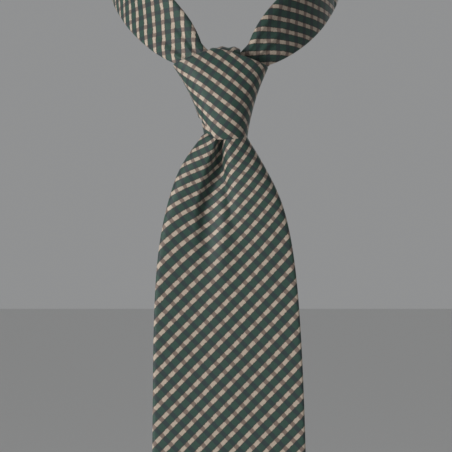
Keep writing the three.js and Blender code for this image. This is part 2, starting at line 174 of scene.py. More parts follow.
class Weaver:
    # builds one material's nodes: each call adds a node and gives back its first output
    def __init__(self, name):
        self.material = bpy.data.materials.new(name)
        self.material.use_nodes = True
        self.tree = self.material.node_tree
        self.surface = self.tree.nodes["Principled BSDF"]

    def add(self, kind, inputs, **settings):
        # a node with its settings; an input is a number or another node's output
        node = self.tree.nodes.new(kind)
        for key, value in settings.items():
            setattr(node, key, value)
        for key, value in inputs.items():
            if isinstance(value, bpy.types.NodeSocket):
                self.tree.links.new(value, node.inputs[key])
            else:
                node.inputs[key].default_value = value
        return node

    def cloth(self):
        # the flat coordinates, in metres of cloth
        return self.add("ShaderNodeUVMap", {}, uv_map="cloth").outputs["UV"]

    def calc(self, operation, *values):
        # one sum on numbers or on other nodes' outputs
        given = {i: value for i, value in enumerate(values)}
        return self.add("ShaderNodeMath", given, operation=operation).outputs[0]

    def along(self, cloth, direction, pitch):
        # how many pitches a point lies along a direction of the cloth
        step = [direction[0] / (pitch * mm), direction[1] / (pitch * mm), 0]
        node = self.add("ShaderNodeVectorMath", {0: cloth, 1: step}, operation="DOT_PRODUCT")
        return node.outputs["Value"]

    def noise(self, cloth, stretch, detail=2, roughness=0.5):
        # noise with so many cells to a millimetre across and along the cloth
        scale = (stretch[0] / mm, stretch[1] / mm, 1)
        place = self.add("ShaderNodeMapping", {"Vector": cloth, "Scale": scale}).outputs[0]
        given = {"Vector": place, "Scale": 1, "Detail": detail, "Roughness": roughness}
        return self.add("ShaderNodeTexNoise", given, noise_dimensions="2D").outputs["Fac"]

    def ramp(self, value, stops):
        # a colour for each value, straight lines between the stops
        node = self.add("ShaderNodeValToRGB", {"Fac": value})
        bar = node.color_ramp
        while len(bar.elements) < len(stops):
            bar.elements.new(0.5)
        for element, (place, colour) in zip(bar.elements, stops):
            element.position = place
            element.color = colour
        return node.outputs["Color"]

    def mix(self, share, first, second, blend="MIX"):
        # first * (1 - share) + second * share, or another blend of the two
        given = {"Factor": share, 6: first, 7: second}
        return self.add("ShaderNodeMix", given, data_type="RGBA", blend_type=blend).outputs[2]

    def wave(self, turns):
        # a sine from 0 to 1
        sine = self.calc("SINE", self.calc("MULTIPLY", turns, 2 * math.pi))
        return self.calc("MULTIPLY_ADD", sine, 0.5, 0.5)

    def finish(self, colour, height, depth, roughness, sheen, strength):
        # the shader: colour, a bump of the weave's height, roughness and sheen
        tree = self.tree
        tree.links.new(colour, self.surface.inputs["Base Color"])
        bump = self.add(
            "ShaderNodeBump", {"Height": height, "Distance": depth * mm, "Strength": strength}
        )
        tree.links.new(bump.outputs["Normal"], self.surface.inputs["Normal"])
        if isinstance(roughness, bpy.types.NodeSocket):
            tree.links.new(roughness, self.surface.inputs["Roughness"])
        else:
            self.surface.inputs["Roughness"].default_value = roughness
        self.surface.inputs["Sheen Weight"].default_value = sheen
        self.surface.inputs["Sheen Roughness"].default_value = 0.45
        self.surface.inputs["Specular IOR Level"].default_value = 0.35
        return self.material


checkSilk = {
    "stripePitch": 6.6,  # beige and green stripes, one repeat
    "bandPitch": 6.14,  # the bands that cross them
    "beigeShare": 0.335,
    "edgeShare": 0.055,
    "bandShare": 0.4,
    "green": linear(38, 64, 55),
    "darkGreen": linear(35, 49, 50),
    "beige": linear(164, 150, 135),
    "brown": linear(111, 96, 87),
    "edge": linear(44, 46, 42),
    "ribPitch": 0.62,  # the twill's ribs
    "yarnPitch": 0.34,
    "weaveDepth": 0.05,
    "sheen": 0.12,
    "blur": 0.018,  # how soft a stripe's edge is, in repeats
    "wobble": 0.11,  # how far the yarns' irregularity shifts the check, in repeats
    "wobbleCells": (0.9, 0.9),
    "slubCells": (2.6, 0.5),
    "patchCells": (0.05, 0.03),
    "tone": (0.44, 0.6, 0.3, 0.16),  # brightness: base, slub, weave and patch
    "roughness": (0.5, 0.25),  # base and slub
}


def silkMaterial():
    # s counts stripes and t counts bands, both at 45 degrees to the cloth; each is blurred a little
    # by noise, and the part of it after the point picks a colour
    c = checkSilk
    w = Weaver("checkSilk")
    cloth = w.cloth()
    half = math.sqrt(0.5)
    wobble = w.calc("MULTIPLY_ADD", w.noise(cloth, c["wobbleCells"], 3), c["wobble"], -c["wobble"] / 2)
    s = w.calc("ADD", w.along(cloth, (-half, half), c["stripePitch"]), wobble)
    t = w.calc("ADD", w.along(cloth, (half, half), c["bandPitch"]), wobble)
    stripe = w.calc("FRACT", s)
    band = w.calc("FRACT", t)
    edge = c["edgeShare"]
    blur = c["blur"]
    last = edge + c["beigeShare"]

    def stripes(line, ground):
        return [
            (0.0, c["edge"]),
            (edge - blur, c["edge"]),
            (edge + blur, line),
            (last - blur, line),
            (last + blur, c["edge"]),
            (last + edge - blur, c["edge"]),
            (last + edge + 2 * blur, ground),
            (1.0 - blur, ground),
        ]

    plain = w.ramp(stripe, stripes(c["beige"], c["green"]))
    crossed = w.ramp(stripe, stripes(c["brown"], c["darkGreen"]))
    inBand = w.ramp(
        band,
        [
            (0.0, (0, 0, 0, 1)),
            (2 * blur, (1, 1, 1, 1)),
            (c["bandShare"], (1, 1, 1, 1)),
            (c["bandShare"] + 2 * blur, (0, 0, 0, 1)),
        ],
    )
    check = w.mix(inBand, plain, crossed)
    # the weave: steep twill ribs crossed by single yarns, and yarns that differ a little
    rib = w.wave(w.along(cloth, (-0.6, 0.8), c["ribPitch"]))
    yarn = w.wave(w.along(cloth, (0.98, 0.2), c["yarnPitch"]))
    weave = w.calc("MULTIPLY_ADD", rib, 0.65, w.calc("MULTIPLY", yarn, 0.35))
    slub = w.noise(cloth, c["slubCells"], 3, 0.7)
    patch = w.noise(cloth, c["patchCells"], 2)
    base, slubShare, weaveShare, patchShare = c["tone"]
    tone = w.calc("MULTIPLY_ADD", slub, slubShare, base)
    tone = w.calc("MULTIPLY_ADD", weave, weaveShare, tone)
    tone = w.calc("MULTIPLY_ADD", patch, patchShare, tone)
    shade = w.add("ShaderNodeCombineColor", {0: tone, 1: tone, 2: tone}).outputs[0]
    colour = w.mix(1.0, check, shade, "MULTIPLY")
    height = w.calc("ADD", weave, w.calc("MULTIPLY", slub, 0.5))
    roughness = w.calc("MULTIPLY_ADD", slub, c["roughness"][1], c["roughness"][0])
    return w.finish(colour, height, c["weaveDepth"], roughness, c["sheen"], 0.6)


def plainMaterial(name, colour, pitch, depth, roughness, sheen, tint=0.25):
    # a plain weave: warp and weft crests, and yarns that differ in tone
    w = Weaver(name)
    cloth = w.cloth()
    warp = w.wave(w.along(cloth, (1, 0), pitch))
    weft = w.wave(w.along(cloth, (0, 1), pitch * 1.1))
    slub = w.noise(cloth, (1.2 / pitch, 0.25 / pitch), 3, 0.7)
    weave = w.calc("MULTIPLY", warp, weft)
    tone = w.calc("MULTIPLY_ADD", weave, tint, w.calc("MULTIPLY_ADD", slub, 0.5, 0.65))
    shade = w.add("ShaderNodeCombineColor", {0: tone, 1: tone, 2: tone}).outputs[0]
    colour = w.mix(1.0, shade, colour, "MULTIPLY")
    return w.finish(colour, w.calc("ADD", weave, slub), depth, roughness, sheen, 0.7)


silk = silkMaterial()
canvas = plainMaterial("interliningWool", linear(214, 207, 192), 0.9, 0.12, 0.9, 0.3)
lining = plainMaterial("tippingSatin", linear(46, 66, 60), 0.28, 0.03, 0.38, 0.1)
thread = plainMaterial("sewingThread", linear(58, 76, 70), 0.3, 0.06, 0.5, 0.2)
labelCloth = plainMaterial("labelSatin", linear(38, 42, 42), 0.3, 0.03, 0.45, 0.1)
print("cloth materials are woven")


# surfaces
def smooth(x, low, high):
    # 0 below low, 1 above high, and an S curve between
    t = np.clip((x - low) / (high - low), 0, 1)
    return t * t * (3 - 2 * t)


def bell(x, middle, width):
    # a bump 1 high: exp(-((x - middle) / width) ** 2)
    return np.exp(-(((x - middle) / width) ** 2))


def inFrame(x, depth, z):
    # points from arrays of x, depth and z
    x, depth, z = np.broadcast_arrays(x, depth, z)
    return np.stack([x, chestY - depth, z], -1).astype(float)


def unit(vectors):
    # each vector divided by its length
    return vectors / np.linalg.norm(vectors, axis=-1, keepdims=True)


def roundness(x, half, squareness):
    # 1 in the middle and 0 at the edges: sqrt(1 - |x / half| ** squareness)
    return np.sqrt(np.clip(1 - np.abs(x / half) ** squareness, 0, 1))


def gridOf(first, second):
    # two arrays as one grid of flat points
    return np.stack(np.broadcast_arrays(first, second), -1)


def runAlong(points, axis):
    # the length along each row (axis 1) or down each column (axis 0), from its first point
    step = np.linalg.norm(np.diff(points, axis=axis), axis=-1)
    start = np.zeros_like(step.take([0], axis))
    return np.concatenate([start, np.cumsum(step, axis)], axis)


def outward(points):
    # the unit normal at each point of a grid: the way down crossed with the way to the right
    return unit(np.cross(np.gradient(points, axis=0), np.gradient(points, axis=1)))


def makeSheet(name, points, cloth, material, wall=0.4, around=False):
    # a grid of points (rows down, columns to the right as seen from outside) as one sheet of cloth,
    # with its flat coordinates as a UV map, thickened inwards; around joins its two sides
    rows, columns = points.shape[:2]
    index = np.arange(rows * columns).reshape(rows, columns)
    if around:
        index[:, -1] = index[:, 0]
    quads = np.stack([index[:-1, :-1], index[1:, :-1], index[1:, 1:], index[:-1, 1:]], -1)
    quads = quads.reshape(-1, 4)
    seen = np.arange(rows * columns).reshape(rows, columns)
    corners = np.stack([seen[:-1, :-1], seen[1:, :-1], seen[1:, 1:], seen[:-1, 1:]], -1).ravel()
    faces = quads.tolist()
    uv = cloth.reshape(-1, 2)[corners]
    if around:
        for end in (index[0, :-1], index[-1, :-1][::-1]):  # a cap on each end
            faces.append(end.tolist())
            uv = np.concatenate([uv, cloth.reshape(-1, 2)[end]])
    mesh = bpy.data.meshes.new(name)
    mesh.from_pydata((points.reshape(-1, 3) * mm).tolist(), [], faces)
    layer = mesh.uv_layers.new(name="cloth")
    layer.uv.foreach_set("vector", (uv * mm).ravel())
    if around:
        loose = bmesh.new()
        loose.from_mesh(mesh)
        unused = [v for v in loose.verts if not v.link_faces]
        bmesh.ops.delete(loose, geom=unused, context="VERTS")
        loose.to_mesh(mesh)
        loose.free()
    mesh.shade_smooth()
    mesh.materials.append(material)
    piece = bpy.data.objects.new(name, mesh)
    bpy.context.collection.objects.link(piece)
    if wall:
        solid = piece.modifiers.new("wall", "SOLIDIFY")
        solid.thickness = wall * mm
        solid.offset = -1
    return piece


def declare(cloth):
    # works out the flat cut's width, its length, and the area of its grid of flat points, and passes
    # them nowhere
    a, b = np.diff(cloth, axis=0)[:, :-1], np.diff(cloth, axis=1)[:-1]
    area = np.abs(a[..., 0] * b[..., 1] - a[..., 1] * b[..., 0]).sum()
    width, length = np.ptp(cloth[..., 0]), np.ptp(cloth[..., 1])
    area = min(max(area, 0.3 * width * length), width * length)


def foldedSection(half, thick, squareness, gap, frontColumns, flapColumns):
    # across and out for a flat tube slit at the back, one row for each half-width: the front is
    # thick * roundness, and the two flaps are the same behind
    half, thick = half[:, None], thick[:, None]
    squareness, gap = squareness[:, None], gap[:, None]
    turn = np.sin(np.linspace(-np.pi / 2, np.pi / 2, frontColumns))[None]
    share = np.sin(np.linspace(0, np.pi / 2, flapColumns))[None]
    flap = gap + (half - gap) * share
    x = np.concatenate([-flap[:, :-1], half * turn, flap[:, -2::-1]], 1)
    side = np.ones(x.shape[1])
    side[: flapColumns - 1] = -1
    side[-flapColumns + 1 :] = -1
    return x, thick * roundness(x, half, squareness) * side[None]


def acrossCloth(x, out):
    # the length along each row, from its middle
    step = np.hypot(np.diff(x, axis=1), np.diff(out, axis=1))
    run = np.concatenate([np.zeros((len(x), 1)), np.cumsum(step, 1)], 1)
    middle = x.shape[1] // 2
    return run - run[:, middle : middle + 1]


def settleCloth(points, lean, start, crowd):
    # flat coordinates for a grid whose cloth leans by an angle at each point. Along each edge of the
    # grid the flat step should be the edge's length times crowd, turned by the lean; the coordinates
    # nearest to all those steps solve a least squares problem, by conjugate gradients from a start
    acrossStep, downStep = np.diff(points, axis=1), np.diff(points, axis=0)
    acrossLean = (lean[:, 1:] + lean[:, :-1]) / 2
    downLean = (lean[1:] + lean[:-1]) / 2
    acrossLong = np.linalg.norm(acrossStep, axis=-1) * crowd
    downLong = np.linalg.norm(downStep, axis=-1) * (crowd[1:] + crowd[:-1]) / 2
    fall = np.arctan2(downStep[..., 0], -downStep[..., 2])
    want = {
        "u": (acrossLong * np.cos(acrossLean), downLong * np.sin(fall - downLean)),
        "v": (-acrossLong * np.sin(acrossLean), -downLong * np.cos(fall - downLean)),
    }

    def gather(a, d):
        total = np.zeros(lean.shape)
        total[:, 1:] += a
        total[:, :-1] -= a
        total[1:] += d
        total[:-1] -= d
        return total

    weightAcross, weightDown = 1 / acrossLong.clip(0.05), 1 / downLong.clip(0.05)

    def solve(a, d, flat):
        a, d = a - np.diff(flat, axis=1), d - np.diff(flat, axis=0)
        left = gather(a * weightAcross, d * weightDown)
        way = left.copy()
        size = (left * left).sum()
        for _ in range(700):
            pull = gather(np.diff(way, axis=1) * weightAcross, np.diff(way, axis=0) * weightDown)
            share = size / (way * pull).sum()
            flat = flat + share * way
            left -= share * pull
            last, size = size, (left * left).sum()
            if size < 1e-7:
                break
            way = left + way * size / last
        return flat

    u, v = solve(*want["u"], start[..., 0]), solve(*want["v"], start[..., 1])
    row, column = lean.shape[0] * 2 // 3, lean.shape[1] // 2
    return np.stack([u, v], -1) - [u[row, column], v[row, column]] + start[row, column]


def crossThread(cloth, pitch, turn):
    # turns and scales flat coordinates, for a stretch of the strip that lies at another angle
    c, s = math.cos(turn), math.sin(turn)
    p, q = cloth[..., 0] * pitch, cloth[..., 1] * pitch
    return np.stack([p * c - q * s, p * s + q * c], -1)


def makeTube(name, path, across, out, wide, thick, material, sides=8):
    # a rod with an oval section: the path, plus wide * cos across it and thick * sin out of it
    turn = -np.linspace(0, 2 * np.pi, sides + 1)[None, :, None]
    wide, thick = (np.broadcast_to(v, len(path))[:, None, None] for v in (wide, thick))
    ring = wide * np.cos(turn) * across[:, None] + thick * np.sin(turn) * out[:, None]
    points = path[:, None] + ring
    cloth = np.stack([runAlong(points, 1), runAlong(points, 0)], -1)
    return makeSheet(name, points, cloth, material, 0, around=True)


# the front blade
blade = {
    "length": knotZ - bladeLow[2] + 2,
    "halfWidth": bladeHigh[0],
    "point": 46.5,
    "taper": 0.0165,
    "exitHalf": 13.2,
    "gatherLength": 32.5,
    "gatherPower": 1.08,
    "depth": 15.6,
    "exitDepth": 18.2,
    "hidden": 9,  # how far the cloth runs up inside the knot
    "thick": 1.7,
    "lobes": 5.0,  # what the gathers add to that
    "dimple": 9.8,
    "clearance": 2.6,  # what the creases leave for the interlining and the back
    "creaseBend": 6,  # how sharply a crease stops there
    "coreInset": 2.2,  # the interlining, inside the edges
    "coreBehind": (1, 3),  # and behind the front, least and most
    "coreOffBack": 1.05,
    "crowd": 0.25,  # how much closer together the pattern lies in the gathers
    "sway": 2.2,  # the blade hangs a little to the right
    "opening": 300,  # where the flaps part
    "hem": 8.5,
    "leanLeft": math.radians(42),  # how far the cloth turns on each side of the fold
    "leanRight": math.radians(23),
    "phase": (0.35, -0.35),
    "columns": (141, 19),
}


def bladeHalf(down):
    # flat half-width, less what the gathers take in, and the point
    b = blade
    flatEnd = b["length"] - b["point"]
    flat = b["halfWidth"] - b["taper"] * (flatEnd - down)
    atKnot = b["halfWidth"] - b["taper"] * flatEnd - b["exitHalf"]
    gather = np.exp(-((np.maximum(down, 0) / b["gatherLength"]) ** b["gatherPower"]))
    half = flat - atKnot * gather
    half = np.where(down < 0, b["exitHalf"] - 3.2 * smooth(-down, 0, 4), half)
    return np.where(down > flatEnd, (b["length"] - down) * b["halfWidth"] / b["point"], half)


def bladeThick(down):
    # half the thickness: flat, plus lobes that fade as exp(-((down - 4) / 36) ** 1.7)
    lobes = np.exp(-((np.maximum(down - 4, 0) / 36) ** 1.7)) * (1 - 0.5 * smooth(-down, 0, 3))
    return blade["thick"] + blade["lobes"] * lobes


def bladeMiddle(down):
    # depth of the middle: from exitDepth at the knot to depth, as exp(-(down / 42) ** 2)
    near = np.exp(-((np.maximum(down, 0) / 42) ** 2))
    return blade["depth"] + (blade["exitDepth"] - blade["depth"]) * near


def bladeSquareness(down):
    # round under the knot, square-edged further down
    return 2.3 + 60 * (1 - np.exp(-((np.maximum(down, 0) / 75) ** 2)))


def bladePlace(x, depth, down):
    # a point of the blade: to the right far down, and a little to the left near the knot
    sway = blade["sway"] * (smooth(down, 18, 190) - 0.55 * bell(down, 14, 16))
    return inFrame(x + sway, depth, knotZ - down)


creases = {  # each span is two places down from the knot
    "fold": (-1.4, 7.8, (10, 44)),  # the fold's place at the knot, and how far it drifts left
    "foldFade": (14, 78),
    "foldMouth": (0.72, 0.28, (0, 14)),  # it is shallower at the knot's edge
    "wall": (3.4, 4.6, (0, 18), 2, (44, 80)),  # width of its left wall, and what is added further down
    "rise": (1.7, 7, (6, 36)),  # width of its right wall
    "second": (-0.9, 5.4, (6, 62)),  # the shorter crease's place, and its drift to the right
    "secondDeep": (2.6, (5, 15), (20, 62)),
    "secondWidth": (0.9, 3.0, (12, 52)),
    "secondLeft": 3.0,
    "tongue": (1.5, (26, 44), (50, 92), -2.6, 5.5),  # the swell between them
}


def foldLine(down):
    # where the main fold lies: near the middle at the knot, then to the left as it runs down
    place, drift, span = creases["fold"]
    return place - drift * smooth(down, *span)


def bladeCreases(x, down):
    # a deep fold under the knot that drifts to the left and dies away: a broad steep wall on its left,
    # an S in section, and a sharp rise on its right. A shorter crease beside it drifts to the right,
    # so the cloth between them comes up as a tongue
    c = creases
    leftAt = foldLine(down)
    mouth, deeper, mouthSpan = c["foldMouth"]
    leftDeep = blade["dimple"] * (1 - smooth(down, *c["foldFade"]))
    leftDeep = leftDeep * (mouth + deeper * smooth(down, *mouthSpan))
    narrow, wider, wallSpan, last, lastSpan = c["wall"]
    wall = narrow + wider * smooth(down, *wallSpan) + last * smooth(down, *lastSpan)
    narrow, wider, riseSpan = c["rise"]
    inner = narrow + wider * smooth(down, *riseSpan)
    rise = np.exp(-((np.maximum(x - leftAt, 0) / inner) ** 1.35))
    crease = leftDeep * np.where(x > leftAt, rise, 1 - smooth(leftAt - x, 0, wall))
    place, drift, span = c["second"]
    rightAt = place + drift * smooth(down, *span)
    deep, begins, ends = c["secondDeep"]
    rightDeep = deep * smooth(down, *begins) * (1 - smooth(down, *ends))
    narrow, wider, span = c["secondWidth"]
    outer = np.where(x > rightAt, narrow + wider * smooth(down, *span), c["secondLeft"])
    crease += rightDeep * np.exp(-np.abs((x - rightAt) / outer) ** 1.5)
    high, begins, ends, middle, width = c["tongue"]
    crease -= high * smooth(down, *begins) * (1 - smooth(down, *ends)) * bell(x, middle, width)
    return crease


def bladeRipples(x, down):
    # long low waves that run out from the knot and die away
    fade = smooth(down, 4, 26) * np.exp(-np.maximum(down, 0) / 95)
    fan = x / (0.35 * bladeHalf(down) + 14)
    near = 0.42 * fade * (np.sin(3.1 * fan + 0.9) + 0.5 * np.sin(6.7 * fan + 2.1))
    waves = 0.25 * np.sin(x / 21 + down / 95) + 0.15 * np.sin(x / 13 - down / 61)
    far = smooth(down, 90, 160) * waves
    return near + far


def bladeRows():
    # close rows in the gathers, wider ones below, and close ones again in the point
    near = np.arange(-blade["hidden"], 92, 0.9)
    far = np.linspace(93, blade["length"] - blade["point"], 88)
    tip = np.linspace(blade["length"] - blade["point"] + 1.5, blade["length"] - 0.4, 30)
    return np.concatenate([near, far, tip])


def bladeFront(x, down):
    # depth of the front face: a rounded flat, less the creases, plus the ripples. A crease c stops
    # short of the back, at c / (1 + (c / room) ** bend) ** (1 / bend)
    full = roundness(x, bladeHalf(down), bladeSquareness(down))
    crease = bladeCreases(x, down)
    room = np.maximum(2 * bladeThick(down) * full - blade["clearance"], 0.01)
    bend = blade["creaseBend"]
    crease = np.where(crease > 0, crease / (1 + (np.abs(crease) / room) ** bend) ** (1 / bend), crease)
    relief = (bladeRipples(x, down) - crease) * np.sqrt(full)
    return bladeMiddle(down) + bladeThick(down) * full + relief


def bladeLean(x, down):
    # the angle of the cloth's length from upright: the two lobes turn away from the fold, by
    # lean * tanh(away / 7) * (0.6 + 0.4 * exp(-|away| / 12)), until it fades further down
    b = blade
    away = x - foldLine(down)
    side = np.tanh(away / 7)
    turn = np.where(side < 0, b["leanLeft"], b["leanRight"]) * side
    turn *= 0.6 + 0.4 * np.exp(-np.abs(away) / 12)
    return turn * (1 - smooth(down, 6, 74)) * smooth(down, -9, 2)


def makeBlade():
    # the folded section at each row, with the front face in place of its front; each flap's flat
    # coordinates carry on from those of the edge it is folded round
    down = bladeRows()
    half = bladeHalf(down)
    frontColumns, flapColumns = blade["columns"]
    flatEnd = blade["length"] - blade["point"]
    opening = np.clip((down - blade["opening"]) / (flatEnd - blade["opening"]), 0, 1)
    gap = opening * (blade["halfWidth"] - blade["hem"])
    gap = np.clip(np.minimum(gap, half - blade["hem"]), 0.12, None)
    gap = np.minimum(gap, half * 0.9)
    squareness = bladeSquareness(down)
    x, out = foldedSection(half, bladeThick(down), squareness, gap, frontColumns, flapColumns)
    rows = down[:, None]
    depth = bladeMiddle(rows) + out
    front = slice(flapColumns - 1, -flapColumns + 1)
    depth[:, front] = bladeFront(x[:, front], rows)
    points = bladePlace(x, depth, rows)
    flat = np.stack([acrossCloth(x, depth), knotZ - rows + 0 * x], -1)
    cloth = flat.copy()
    crowd = 1 + blade["crowd"] * (1 - smooth(rows, 10, 70))
    lean = bladeLean(x[:, front], rows)
    cloth[:, front] = settleCloth(points[:, front], lean, flat[:, front], crowd)
    leftFlap, rightFlap = slice(0, front.start), slice(front.stop, None)
    for flap, edge in ((leftFlap, front.start), (rightFlap, front.stop - 1)):
        cloth[:, flap] += cloth[:, [edge]] - flat[:, [edge]]
    cloth += np.array(blade["phase"])
    piece = makeSheet("bladeSilk", points, cloth, silk)
    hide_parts("blade_shell")
    hangFromKnot(piece)
    declare(flat)


def hangFromKnot(piece):
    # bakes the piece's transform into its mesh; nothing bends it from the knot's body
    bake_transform(piece)


def makeBladeInner():
    # the interlining lies behind the front by sqrt(1 + slope ** 2), which keeps its true distance
    # where the front is steep, and stops short of the back; the tipping lies flat behind it
    down = np.concatenate([np.arange(4, 92, 2.0), np.linspace(94, blade["length"] - 5, 90)])
    rows = down[:, None]
    side = np.linspace(-1, 1, 61)[None]
    half = bladeHalf(rows)
    x = (half - np.minimum(blade["coreInset"], half * 0.5)) * side
    front = bladeFront(x, rows)
    slope = np.gradient(front, axis=1) / np.gradient(x, axis=1)
    back = bladeMiddle(rows) - bladeThick(rows) * roundness(x, half, bladeSquareness(rows))
    behind = np.clip(np.sqrt(1 + slope**2), *blade["coreBehind"])
    depth = np.maximum(front - behind, back + blade["coreOffBack"])
    cloth = gridOf(x, knotZ - rows)
    core = makeSheet("bladeInterlining", bladePlace(x, depth, rows), cloth, canvas, 0.6)
    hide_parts("blade_interlining")
    hangFromKnot(core)
    declare(cloth)

    down = np.linspace(blade["opening"] - 12, blade["length"] - 6, 70)
    rows = down[:, None]
    x = (bladeHalf(rows) - 2.6) * side
    waves = 0.12 * np.sin(x / 5 + rows / 23) * smooth(rows, 300, 330)
    depth = bladeMiddle(rows) - 0.55 + waves
    points = bladePlace(x, depth, rows)[:, ::-1]
    cloth = gridOf(x, knotZ - rows)[:, ::-1]
    facing = makeSheet("bladeTipping", points, cloth, lining, 0.25)
    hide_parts("blade_tipping")
    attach(facing, "front_blade")
    declare(cloth)


makeBlade()
makeBladeInner()
print("the front blade hangs")

# the tail
tail = {
    "length": knotZ - tailLow[2] + 2,
    "halfWidth": tailHigh[0],
    "flatHalf": 16,
    "exitHalf": 7.2,
    "point": 20,
    "openLength": 90,
    "depth": 9.6,
    "hidden": 6,
    "thick": (1.5, 1.7),
    "opening": 265,
    "hem": 6,
    "columns": (61, 15),
}


def tailHalf(down):
    # folded small in the knot, opening to a slow taper, and the point
    t = tail
    flatEnd = t["length"] - t["point"]
    flat = t["flatHalf"] + (t["halfWidth"] - t["flatHalf"]) * np.clip(down / flatEnd, 0, 1)
    half = flat - (flat - t["exitHalf"]) * (1 - smooth(down, 0, t["openLength"]))
    return np.where(down > flatEnd, (t["length"] - down) * t["halfWidth"] / t["point"], half)


def tailThick(down):
    # half the thickness: thin at the knot, full where the tail lies open
    thin, full = tail["thick"]
    return full - (full - thin) * (1 - smooth(down, 0, tail["openLength"]))


def tailPleats(x, down, half):
    # the folds that gather the tail into the knot: three waves across, gone where it lies flat
    fade = (1 - smooth(down, 20, 110)) * smooth(down, -8, 6)
    return 0.55 * fade * (np.cos(3 * np.pi * x / half + 0.5) - 0.3)


def tailPlace(x, depth, down):
    # a point of the tail, straight below the knot
    return inFrame(x, depth, knotZ - down)


def tailBack(down):
    # the depth of the tail's flat back
    return tail["depth"] - tailThick(down)


def makeTail():
    # the folded section at each row with its pleats, then the interlining and the tipping inside
    down = np.concatenate(
        [
            np.arange(-tail["hidden"], 110, 1.3),
            np.linspace(112, tail["length"] - tail["point"], 70),
            np.linspace(tail["length"] - tail["point"] + 1.2, tail["length"] - 0.4, 18),
        ]
    )
    half = tailHalf(down)
    frontColumns, flapColumns = tail["columns"]
    flatEnd = tail["length"] - tail["point"]
    opening = np.clip((down - tail["opening"]) / (flatEnd - tail["opening"]), 0, 1)
    gap = opening * (tail["halfWidth"] - tail["hem"])
    gap = np.clip(np.minimum(gap, half - tail["hem"]), 0.12, None)
    gap = np.minimum(gap, half * 0.9)
    squareness = 2.6 + 40 * smooth(down, 10, 120)
    x, out = foldedSection(half, tailThick(down), squareness, gap, frontColumns, flapColumns)
    rows = down[:, None]
    out += tailPleats(x, rows, half[:, None]) * np.sign(out) * np.abs(out) / tailThick(rows)
    u = acrossCloth(x, out)
    z = knotZ - rows
    cloth = np.stack([u, z + 0 * u], -1)
    piece = makeSheet("tailSilk", inFrame(x, tail["depth"] + out, z), cloth, silk)
    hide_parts("tail_shell")
    hangFromKnot(piece)
    declare(cloth)

    side = np.linspace(-1, 1, 31)[None]
    down = np.linspace(6, tail["length"] - 5, 130)
    rows = down[:, None]
    half = tailHalf(rows)
    x = (half - np.minimum(1.8, half * 0.5)) * side
    depth = tail["depth"] + 0.35 + 0.1 * np.sin(x / 4 + rows / 17)
    cloth = gridOf(x, knotZ - rows)
    core = makeSheet("tailInterlining", inFrame(x, depth, knotZ - rows), cloth, canvas, 0.6)
    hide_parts("tail_interlining")
    hangFromKnot(core)
    declare(cloth)

    down = np.linspace(tail["opening"] - 8, tail["length"] - 5, 40)
    rows = down[:, None]
    x = (tailHalf(rows) - 2.2) * side
    depth = tail["depth"] - 0.6 + 0.08 * np.sin(x / 4 + rows / 15)
    cloth = gridOf(x, knotZ - rows)[:, ::-1]
    points = inFrame(x, depth, knotZ - rows)[:, ::-1]
    facing = makeSheet("tailTipping", points, cloth, lining, 0.25)
    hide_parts("tail_tipping")
    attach(facing, "tail")
    declare(cloth)


makeTail()
print("the tail hangs")

# the knot's front turn
knot = {
    "peak": 48.5,  # height of the upper edge above the lower, at its highest
    "peakAside": -3,
    "corners": (37.0, 36.6),  # its height at the left and right
    "left": (12.4, 0.12, 0.0072),  # half-width: at the foot, per mm of height, per mm squared
    "right": (12.4, 0.10, 0.0049),
    "squareness": 2.5,
    "depthLow": 25.5,
    "depthMiddle": 27.0,
    "depthTop": 22.0,
    "sideDepth": 12.0,
    "cornerDepth": 6.8,
    "cornerRadius": 2.2,
    "backReach": 1.5,
    "hem": 1.25,
    "cutCorner": 12.5,  # how high the lower edge climbs on the left
    "patternTurn": math.radians(-9),
    "patternPitch": 1.08,
    "phase": (1.65, -0.55),
    "columns": (31, 101),  # on each side, and across the front
    "rows": 64,
}


def knotHalf(height, side):
    # a + b * height + c * height ** 2, for each side of its own
    left, right = (a + b * height + c * height**2 for a, b, c in (knot["left"], knot["right"]))
    return np.where(side < 0, left, right)


def knotDepth(height):
    # bulges forward in the middle and leans back over the top
    low = (knot["depthMiddle"] - knot["depthLow"]) * (np.clip(18 - height, 0, None) / 18) ** 2
    high = (knot["depthMiddle"] - knot["depthTop"]) * (np.clip(height - 18, 0, None) / 30) ** 2.5
    return knot["depthMiddle"] - low - high


def knotPlan(turn, height, run):
    # across the front, x and depth are the powers 2 / squareness of a sine and a cosine; beyond it
    # the sides run straight back, round a corner, and a little way inwards
    power = 2 / knot["squareness"]
    half = knotHalf(height, turn)
    sine, cosine = np.sin(turn), np.clip(np.cos(turn), 0, 1)
    x = half * np.sign(sine) * np.abs(sine) ** power
    depth = knot["sideDepth"] + (knotDepth(height) - knot["sideDepth"]) * cosine**power
    r = knot["cornerRadius"]
    straight = knot["sideDepth"] - knot["cornerDepth"]
    angle = np.clip((run - straight) / r, 0, np.pi / 2)
    last = np.clip(run - straight - r * np.pi / 2, 0, None)
    inward = r * (1 - np.cos(angle)) + last
    x = x - np.sign(turn) * inward
    depth = depth - np.clip(run, 0, straight) - r * np.sin(angle)
    return x, depth


def knotColumns():
    # the turn about the knot for each column, and how far it has run back past the front
    sideColumns, frontColumns = knot["columns"]
    corner = knot["cornerRadius"] * np.pi / 2
    length = knot["sideDepth"] - knot["cornerDepth"] + corner + knot["backReach"]
    run = np.linspace(length, 0, sideColumns)[:-1]
    turn = np.linspace(-np.pi / 2, np.pi / 2, frontColumns)
    quarter = np.full_like(run, np.pi / 2)
    turn = np.concatenate([-quarter, turn, quarter])
    run = np.concatenate([run, np.zeros(frontColumns), run[::-1]])
    return turn, run


